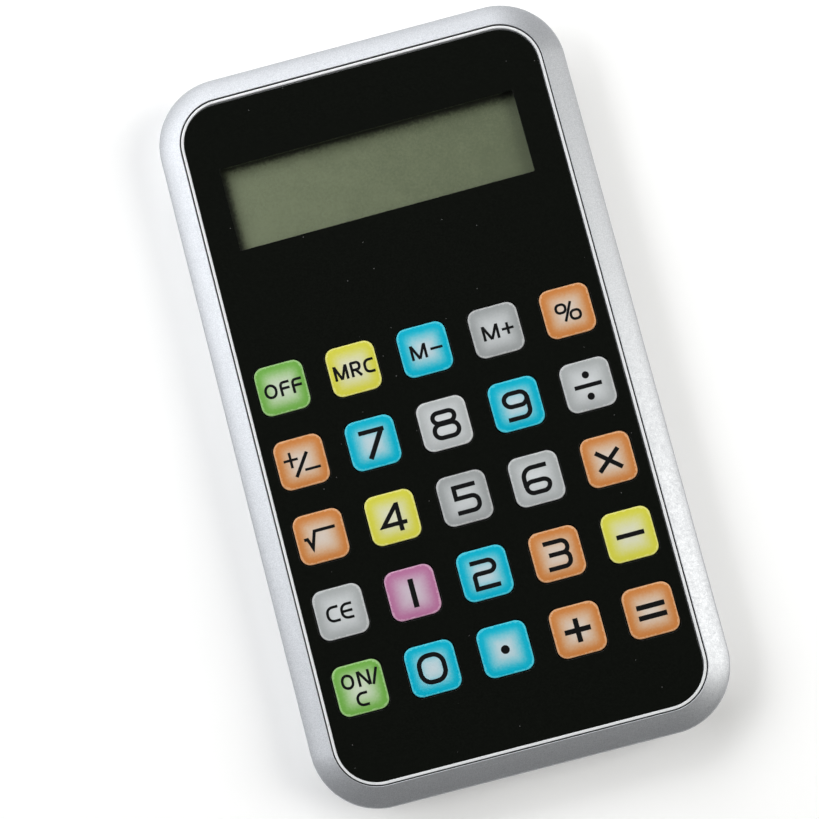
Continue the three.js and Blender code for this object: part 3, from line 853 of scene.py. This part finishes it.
def bar(width, x0, y0, x1, y1):
    """A straight stroke."""
    return path(width, (x0, y0), (x1, y1))


def ring(width, left, right, top, bottom, radius):
    """A closed rounded stroke, given by its outside."""
    half = width / 2
    left, right, top, bottom = left + half, right - half, top - half, bottom + half
    places = ((left, bottom), (right, bottom), (right, top), (left, top))
    return (width, True, tuple((*place, radius) for place in places))


def letter_m(left, right, top, bottom):
    """A capital M: two upright legs and a deep V."""
    half, middle = FINE / 2, (left + right) / 2
    first, last = left + half, right - half
    return [
        bar(FINE, first, bottom, first, top),
        bar(FINE, last, bottom, last, top),
        bar(FINE, first + half * 0.2, top - half * 0.4, middle, bottom + half * 0.3),
        bar(FINE, last - half * 0.2, top - half * 0.4, middle, bottom + half * 0.3),
    ]


def letter_c(left, right, top, bottom, radius):
    """An open C, or the back of a rounded E."""
    half = FINE / 2
    x, high, low = left + half, top - half, bottom + half
    return path(FINE, (right, high), (x, high, radius), (x, low, radius), (right, low))


def letter_f(left, right, top, bottom):
    """A capital F with a rounded shoulder, as two strokes."""
    half = FINE / 2
    middle = (top + bottom) / 2 + 0.02
    back = path(FINE, (right, top - half), (left + half, top - half, 0.5), (left + half, bottom))
    return [back, bar(FINE, left + half, middle, right - 0.06, middle)]


LEGENDS = {
    "off": [
        ring(FINE, -2.9, -0.82, 1.06, -1.3, 0.88),
        *letter_f(-0.38, 1.25, 1.06, -1.3),
        *letter_f(1.58, 3.26, 1.06, -1.3),
    ],
    "mrc": [
        *letter_m(-3.18, -0.92, 1.06, -1.3),
        path(
            FINE, (-0.275, -1.3), (-0.275, 0.925, 0.1), (1.03, 0.925, 0.5), (1.03, -0.22, 0.5),
            (-0.275, -0.22),
        ),
        bar(FINE, 0.3, -0.22, 1.1, -1.3),
        letter_c(1.66, 3.34, 1.06, -1.3, 0.75),
    ],
    "m_minus": [*letter_m(-2.31, 0.27, 1.06, -1.3), bar(THIN, 0.9, -0.16, 2.85, -0.16)],
    "m_plus": [
        *letter_m(-2.23, 0.41, 1.06, -1.3),
        bar(THIN, 0.9, -0.15, 2.8, -0.15),
        bar(THIN, 1.85, 0.79, 1.85, -1.09),
    ],
    "percent": [
        ring(THIN, -1.96, -0.04, 1.44, -0.29, 0.6),
        ring(THIN, 0.14, 2.08, 0.09, -1.72, 0.62),
        bar(THIN, -0.68, -1.58, 0.76, 1.41),
    ],
    "plus_minus": [
        bar(THIN, -2.73, 0.68, -0.43, 0.68),
        bar(THIN, -1.58, 1.94, -1.58, -0.58),
        bar(0.54, -1.28, -2.12, 1.17, 1.41),
        bar(THIN, 0.27, -1.33, 2.8, -1.33),
    ],
    "7": [bar(BOLD, -1.9, 1.88, 2.2, 1.88), bar(0.78, 1.85, 1.98, -0.9, -2.42)],
    "8": [ring(BOLD, -2.0, 2.17, 2.23, -0.16, 0.9), ring(BOLD, -2.17, 2.39, 0.36, -2.47, 1.05)],
    "9": [
        ring(BOLD, -2.1, 2.2, 2.17, -0.62, 1.1),
        path(BOLD, (1.92, 0.9), (1.92, -2.22, 1.15), (-1.77, -2.22)),
    ],
    "4": [bar(BOLD, 1.0, 2.17, 1.0, -2.34), path(0.66, (0.93, 1.9), (-1.75, -1.09), (2.07, -1.09))],
    "5": [path(
        BOLD, (2.12, 1.93), (-1.33, 1.93), (-1.33, 0.16), (2.1, 0.16, 1.0), (2.1, -2.12, 1.0),
        (-1.6, -2.12),
    )],
    "6": [
        path(BOLD, (2.0, 1.93), (-1.9, 1.93, 1.5), (-1.9, -0.9)),
        ring(BOLD, -2.17, 2.2, 0.12, -2.4, 1.05),
    ],
    "divide": [bar(0.66, -2.19, -0.08, 2.19, -0.08)],
    "root": [path(0.5, (-2.69, 0.08), (-2.15, 0.1), (-1.6, -1.4), (-0.8, 1.12), (2.53, 1.12))],
    "multiply": [bar(0.7, -1.82, 1.47, 1.82, -1.63), bar(0.7, -1.82, -1.63, 1.82, 1.47)],
    "ce": [
        letter_c(-2.28, -0.25, 1.24, -1.34, 0.9),
        letter_c(0.0, 1.95, 1.24, -1.34, 0.9),
        bar(THIN, 0.18, -0.05, 1.88, -0.05),
    ],
    "1": [bar(0.84, 0.1, 2.17, 0.1, -2.34)],
    "2": [path(
        BOLD, (-1.95, 1.93), (1.73, 1.93, 0.95), (1.73, 0.12, 0.95), (-1.67, 0.12, 0.5),
        (-1.67, -2.12), (2.05, -2.12),
    )],
    "3": [
        path(BOLD, (-1.82, 1.93), (1.83, 1.93, 0.95), (1.83, 0.02, 0.85), (-1.3, 0.02)),
        path(BOLD, (-0.4, 0.02), (1.83, 0.02, 0.85), (1.83, -2.12, 1.0), (-1.82, -2.12)),
    ],
    "minus": [bar(0.73, -2.12, -0.03, 2.31, -0.03)],
    "on_c": [
        ring(FINE, -2.72, -0.68, 2.55, 0.14, 0.88),
        bar(FINE, 0.085, 0.14, 0.085, 2.55),
        bar(FINE, 0.17, 2.5, 1.63, 0.2),
        bar(FINE, 1.715, 0.14, 1.715, 2.55),
        bar(FINE, 2.17, 0.05, 3.13, 2.55),
        letter_c(-1.06, 0.84, -0.63, -2.88, 0.85),
    ],
    "0": [ring(0.72, -2.36, 2.26, 2.5, -2.36, 1.62)],
    "point": [],
    "plus": [bar(HEAVY, -2.1, -0.03, 2.04, -0.03), bar(HEAVY, -0.03, 1.82, -0.03, -1.93)],
    "equals": [bar(HEAVY, -2.09, 0.76, 2.39, 0.76), bar(HEAVY, -2.09, -0.87, 2.39, -0.87)],
}
# Round dots in legends: radius, x and y.
LEGEND_DOTS = {"divide": ((0.57, 0.0, 1.63), (0.57, 0.0, -1.85)), "point": ((0.68, 0.0, -0.05),)}
# Crossing strokes each stand this much higher than the one before, and all start this far
# inside the cap.
STROKE_LAYER, INK_SUNK = 0.002, 0.02


def stroke_path(bm, corners, closed, z):
    """Adds a wire along the corners, each rounded by its own radius, and returns its edges."""
    before = set(bm.verts)
    points = [bm.verts.new((corner[0], corner[1], z)) for corner in corners]
    pairs = list(zip(points, points[1:] + points[:1])) if closed else list(zip(points, points[1:]))
    for first, second in pairs:
        bm.edges.new((first, second))
    for point, corner in zip(points, corners):
        if len(corner) > 2:
            round_corners(bm, [point], corner[2], 10)
    return {edge for vertex in set(bm.verts) - before for edge in vertex.link_edges}


def thickened(bm, width_mm):
    """The bmesh's ribbons given an even thickness, as a new mesh."""
    mesh = bpy.data.meshes.new("stroke")
    bm.to_mesh(mesh)
    ribbon = add_object("stroke", mesh)
    solid = ribbon.modifiers.new("width", "SOLIDIFY")
    solid.thickness, solid.offset, solid.use_even_offset = width_mm, 0.0, True
    solid.thickness_clamp = 0.0
    graph = bpy.context.evaluated_depsgraph_get()
    result = bpy.data.meshes.new_from_object(ribbon.evaluated_get(graph))
    bpy.data.objects.remove(ribbon)
    bpy.data.meshes.remove(mesh)
    return result


def make_legend(name, sizes, ink):
    """The ink of one cap: flat strokes of even width that stand a hair above the print."""
    height = sizes.ink_height / MM
    legend = bmesh.new()
    for index, (width, closed, corners) in enumerate(LEGENDS[name]):
        ribbon = bmesh.new()
        edges = stroke_path(ribbon, corners, closed, FACE_TOP - INK_SUNK)
        raised = bmesh.ops.extrude_edge_only(ribbon, edges=list(edges))
        shift_new(ribbon, raised, INK_SUNK + height + index * STROKE_LAYER)
        bmesh.ops.recalc_face_normals(ribbon, faces=ribbon.faces)
        solid = thickened(ribbon, width)
        ribbon.free()
        legend.from_mesh(solid)
        bpy.data.meshes.remove(solid)
    for radius, x, y in LEGEND_DOTS.get(name, ()):
        face = add_disc(legend, radius, (x, y, FACE_TOP - INK_SUNK))
        grown = bmesh.ops.extrude_face_region(legend, geom=[face], use_keep_orig=True)
        shift_new(legend, grown, INK_SUNK + height)
    bmesh.ops.recalc_face_normals(legend, faces=legend.faces)
    bmesh.ops.transform(legend, matrix=key_place(name), verts=legend.verts)
    finish_piece(legend, "legend_" + name, [ink], "key_" + name)


# ---- stage

# The camera's place and target, its roll in degrees, and its lens and sensor.
CAMERA_PLACE = (2.12, -33.0, 321.16)
CAMERA_TARGET = (-4.885, -0.408, 9.4)
CAMERA_ROLL = 14.64
CAMERA_LENS = 87.9
CAMERA_SENSOR = 36.0
CAMERA_CLIP = (0.01, 50.0)
FLOOR_GLOW = 0.14
# Softboxes: name, place and size in metres, power in watts, and tint.
SOFTBOXES = (
    ("left_box", (-0.62, 0.17, 0.60), 0.52, 3.3, (0.98, 0.99, 1.0)),
    ("corner_box", (-0.46, 0.56, 0.60), 0.40, 2.0, (0.98, 0.99, 1.0)),
    ("top_box", (-0.04, 0.74, 0.58), 0.60, 3.4, (0.99, 0.995, 1.0)),
    ("right_box", (0.68, -0.11, 0.60), 0.55, 4.7, (1.0, 0.985, 0.94)),
)


def add_softbox(name, place, size, power, tint):
    """A square lamp that faces the calculator."""
    lamp = bpy.data.lights.new(name, "AREA")
    lamp.shape, lamp.size, lamp.energy, lamp.color = "SQUARE", size, power, tint
    holder = add_object(name, lamp)
    holder.location = place
    holder.rotation_euler = (-Vector(place)).to_track_quat("-Z", "Y").to_euler()


# The room's colour from low to high, and how its light falls off behind the bottom end.
ROOM_HEIGHTS = ((0.15, (0.55, 0.55, 0.56, 1)), (0.62, (0.02, 0.02, 0.02, 1)))
ROOM_DEPTH = (("From Min", -0.5), ("From Max", 0.3), ("To Min", 0.2), ("To Max", 1.0))


def add_room():
    """A dim room: pale round the horizon and dark overhead, so gloss black stays black."""
    world = bpy.data.worlds.new("room")
    bpy.context.scene.world = world
    world.use_nodes = True
    tree = world.node_tree
    background = tree.nodes["Background"]
    kinds = ("TexCoord", "SeparateXYZ", "ValToRGB", "MapRange")
    place, axes, ramp, share = (tree.nodes.new("ShaderNode" + kind) for kind in kinds)
    for output, socket in (
        (place.outputs["Generated"], axes.inputs[0]),
        (axes.outputs["Z"], ramp.inputs[0]),
        (axes.outputs["Y"], share.inputs["Value"]),
        (ramp.outputs[0], background.inputs[0]),
        (share.outputs[0], background.inputs["Strength"]),
    ):
        tree.links.new(output, socket)
    for element, (height, colour) in zip(ramp.color_ramp.elements, ROOM_HEIGHTS):
        element.position, element.color = height, colour
    for socket, value in ROOM_DEPTH:
        share.inputs[socket].default_value = value


def add_camera():
    """The camera: above the face, leaning a little to the bottom end, and rolled."""
    lens = bpy.data.cameras.new("view_camera")
    lens.lens, lens.sensor_width = CAMERA_LENS, CAMERA_SENSOR
    lens.clip_start, lens.clip_end = CAMERA_CLIP
    camera = add_object("view_camera", lens)
    place, target = Vector(CAMERA_PLACE) * MM, Vector(CAMERA_TARGET) * MM
    back = (place - target).normalized()
    level = (Vector((0, 1, 0)) - back * back.y).normalized()
    up = Matrix.Rotation(-math.radians(CAMERA_ROLL), 3, back) @ level
    right = up.cross(back)
    turned = Matrix((right, up, back)).transposed().to_4x4()
    camera.matrix_world = Matrix.Translation(place) @ turned
    bpy.context.scene.camera = camera


def add_floor():
    """A wide pale table top."""
    bm = bmesh.new()
    bmesh.ops.create_grid(bm, x_segments=4, y_segments=4, size=4.0)
    mesh = bpy.data.meshes.new("floor")
    bm.to_mesh(mesh)
    bm.free()
    finish = Finish("floor_card", (0.9, 0.9, 0.9), 0.7)
    tone = finish.noise(40.0)
    finish.grained(tone, (0.89, 0.89, 0.89), (0.92, 0.92, 0.92))
    finish.worn(3.0, 0.65, 0.8)
    finish.shader.inputs["Emission Color"].default_value = (1, 1, 1, 1)
    finish.shader.inputs["Emission Strength"].default_value = FLOOR_GLOW
    mesh.materials.append(finish.material)
    floor = add_object("floor", mesh)


# ---- operators

class CALC_OT_case(bpy.types.Operator):
    """Add the silver front case"""

    bl_idname = "calculator.case"
    bl_label = "Front Case"

    def execute(self, context):
        make_front_case(context.scene.calculator_sizes, context.scene.calculator_colours)
        return {"FINISHED"}


class CALC_OT_face(bpy.types.Operator):
    """Add the gloss face and its clear window"""

    bl_idname = "calculator.face"
    bl_label = "Face and Window"

    def execute(self, context):
        sizes = context.scene.calculator_sizes
        make_face_panel(sizes, context.scene.calculator_colours)
        make_window(sizes)
        return {"FINISHED"}


class CALC_OT_caps(bpy.types.Operator):
    """Add the 25 key caps"""

    bl_idname = "calculator.caps"
    bl_label = "Key Caps"

    def execute(self, context):
        sizes = context.scene.calculator_sizes
        prints = cap_finishes(context.scene.calculator_colours)
        body = plain_finish("cap_body", (0.012, 0.012, 0.013), 0.5, 0.2, 0.006)
        for name, finish in KEYS:
            make_cap(name, sizes, [prints[finish], body])
        return {"FINISHED"}


class CALC_OT_keypad(bpy.types.Operator):
    """Add the silicone keypad sheet and its 25 domes"""

    bl_idname = "calculator.keypad"
    bl_label = "Keypad"

    def execute(self, context):
        sizes = context.scene.calculator_sizes
        rubber = plain_finish("mat_silicone", (0.2, 0.21, 0.22), 0.55, 0.4, 0.01)
        make_keypad_sheet(sizes, rubber)
        for name, _ in KEYS:
            make_dome(name, sizes, rubber)
        return {"FINISHED"}


class CALC_OT_legends(bpy.types.Operator):
    """Add the printed legends"""

    bl_idname = "calculator.legends"
    bl_label = "Legends"

    def execute(self, context):
        colour = context.scene.calculator_colours.ink
        ink = plain_finish("legend_ink", colour, 0.5, 0.1, 0.002, Specular_IOR_Level=0.1)
        for name, _ in KEYS:
            make_legend(name, context.scene.calculator_sizes, ink)
        return {"FINISHED"}


def frame_finishes(colours):
    """The finish of each frame piece that keeps its own shape."""
    steel = plain_finish("plated_steel", (0.62, 0.62, 0.61), 0.3, 0.4, 0.004, Metallic=1.0)
    screw = brushed_finish("screw_steel", (0.56, 0.56, 0.57), 0.32, (1, 6, 1))
    rubber = plain_finish("foot_rubber", (0.022, 0.022, 0.023), 0.72, 0.25, 0.02)
    contact = brushed_finish("contact_metal", (0.74, 0.66, 0.48), 0.28, (10, 1, 1))
    moulding = silver_moulding(colours)
    finishes = {
        "rear_shell": moulding,
        "battery_door": moulding,
        "circuit_board": board_mask(),
        "lcd_glass": display_film(colours),
        "lcd_reflector": plain_finish("reflector_film", (0.3, 0.32, 0.26), 0.35, 0.5, 0.004),
        "lcd_holder": plain_finish("holder_black", (0.015, 0.015, 0.015), 0.5, 0.2, 0.01),
        "zebra_strip": brushed_finish("zebra_strip", (0.05, 0.045, 0.05), 0.6, (0.5, 10, 10)),
        "chip_blob": plain_finish("potting_resin", (0.008, 0.008, 0.009), 0.22, 1.2, 0.05),
        "button_cell": steel,
        "contact_negative": contact,
        "contact_positive": contact,
    }
    for number in range(1, 5):
        finishes[f"foot_{number}"] = rubber
        finishes[f"case_screw_{number}"] = screw
        finishes[f"board_screw_{number}"] = screw
    return finishes


# Frame pieces shown as a merged copy with softened edges: node, record slot and edge radius.
SOFTENED = (
    ("rear_shell", "rear_silver", 0.12),
    ("battery_door", "rear_silver", 0.1),
    ("button_cell", "cell_steel", 0.25),
    ("contact_negative", "contact_metal", 0.04),
    ("contact_positive", "contact_metal", 0.04),
    ("chip_blob", "epoxy_black", 0.3),
    ("lcd_holder", "holder_black", 0.1),
    *((f"foot_{number}", "rubber_dark", 0.22) for number in range(1, 5)),
    *((f"case_screw_{number}", "screw_steel", 0.05) for number in range(1, 5)),
)


# A frame mesh's loose corners are merged within this, and faces flatter than this are joined.
MERGE_DISTANCE = 0.002
FLAT_ANGLE = math.radians(0.5)


def soften(node, material, radius):
    """Shows a frame piece as its own merged copy, with its hard edges rounded."""
    bm = bmesh.new()
    bm.from_mesh(frame["nodes"][node].data)
    bmesh.ops.scale(bm, vec=(1 / MM, 1 / MM, 1 / MM), verts=bm.verts)
    bmesh.ops.remove_doubles(bm, verts=bm.verts, dist=MERGE_DISTANCE)
    bmesh.ops.dissolve_limit(bm, angle_limit=FLAT_ANGLE, verts=bm.verts, edges=bm.edges)
    for face in bm.faces:
        face.material_index = 0
    body = frame["nodes"][node]["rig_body"]
    piece = finish_piece(bm, "soft_" + node, [material], body, [node])
    add_bevel(piece, radius)


class CALC_OT_frame_finishes(bpy.types.Operator):
    """Give the frame's own pieces their finishes"""

    bl_idname = "calculator.frame_finishes"
    bl_label = "Frame Finishes"

    def execute(self, context):
        finishes = frame_finishes(context.scene.calculator_colours)
        for node, material in finishes.items():
            frame["nodes"][node].data.materials[0] = material
        for node, slot, radius in SOFTENED:
            soften(node, finishes[node], radius)
        return {"FINISHED"}


class CALC_OT_stage(bpy.types.Operator):
    """Add the table, the lamps, the room and the camera"""

    bl_idname = "calculator.stage"
    bl_label = "Stage"

    def execute(self, context):
        add_floor()
        add_room()
        for softbox in SOFTBOXES:
            add_softbox(*softbox)
        add_camera()
        context.scene.view_settings.view_transform = "Standard"
        return {"FINISHED"}


OPERATORS = (
    CALC_OT_case,
    CALC_OT_face,
    CALC_OT_caps,
    CALC_OT_legends,
    CALC_OT_keypad,
    CALC_OT_frame_finishes,
    CALC_OT_stage,
)


class CALC_PT_panel(bpy.types.Panel):
    """Lists the calculator's operators"""

    bl_label = "Desk Calculator"
    bl_idname = "CALC_PT_panel"
    bl_space_type = "VIEW_3D"
    bl_region_type = "UI"
    bl_category = "Calculator"

    def draw(self, context):
        for operator in OPERATORS:
            self.layout.operator(operator.bl_idname)


CLASSES = (CalculatorSizes, CalculatorColours, *OPERATORS, CALC_PT_panel)


def register():
    """Adds the classes and the scene's two groups of properties."""
    for item in CLASSES:
        bpy.utils.register_class(item)
    bpy.types.Scene.calculator_sizes = bpy.props.PointerProperty(type=CalculatorSizes)
    bpy.types.Scene.calculator_colours = bpy.props.PointerProperty(type=CalculatorColours)


def unregister():
    """Takes away what register adds."""
    del bpy.types.Scene.calculator_colours
    del bpy.types.Scene.calculator_sizes
    for item in reversed(CLASSES):
        bpy.utils.unregister_class(item)


def main():
    """Builds everything."""
    register()
    for operator in OPERATORS:
        group, name = operator.bl_idname.split(".")
        getattr(getattr(bpy.ops, group), name)()


if __name__ == "__main__":
    main()
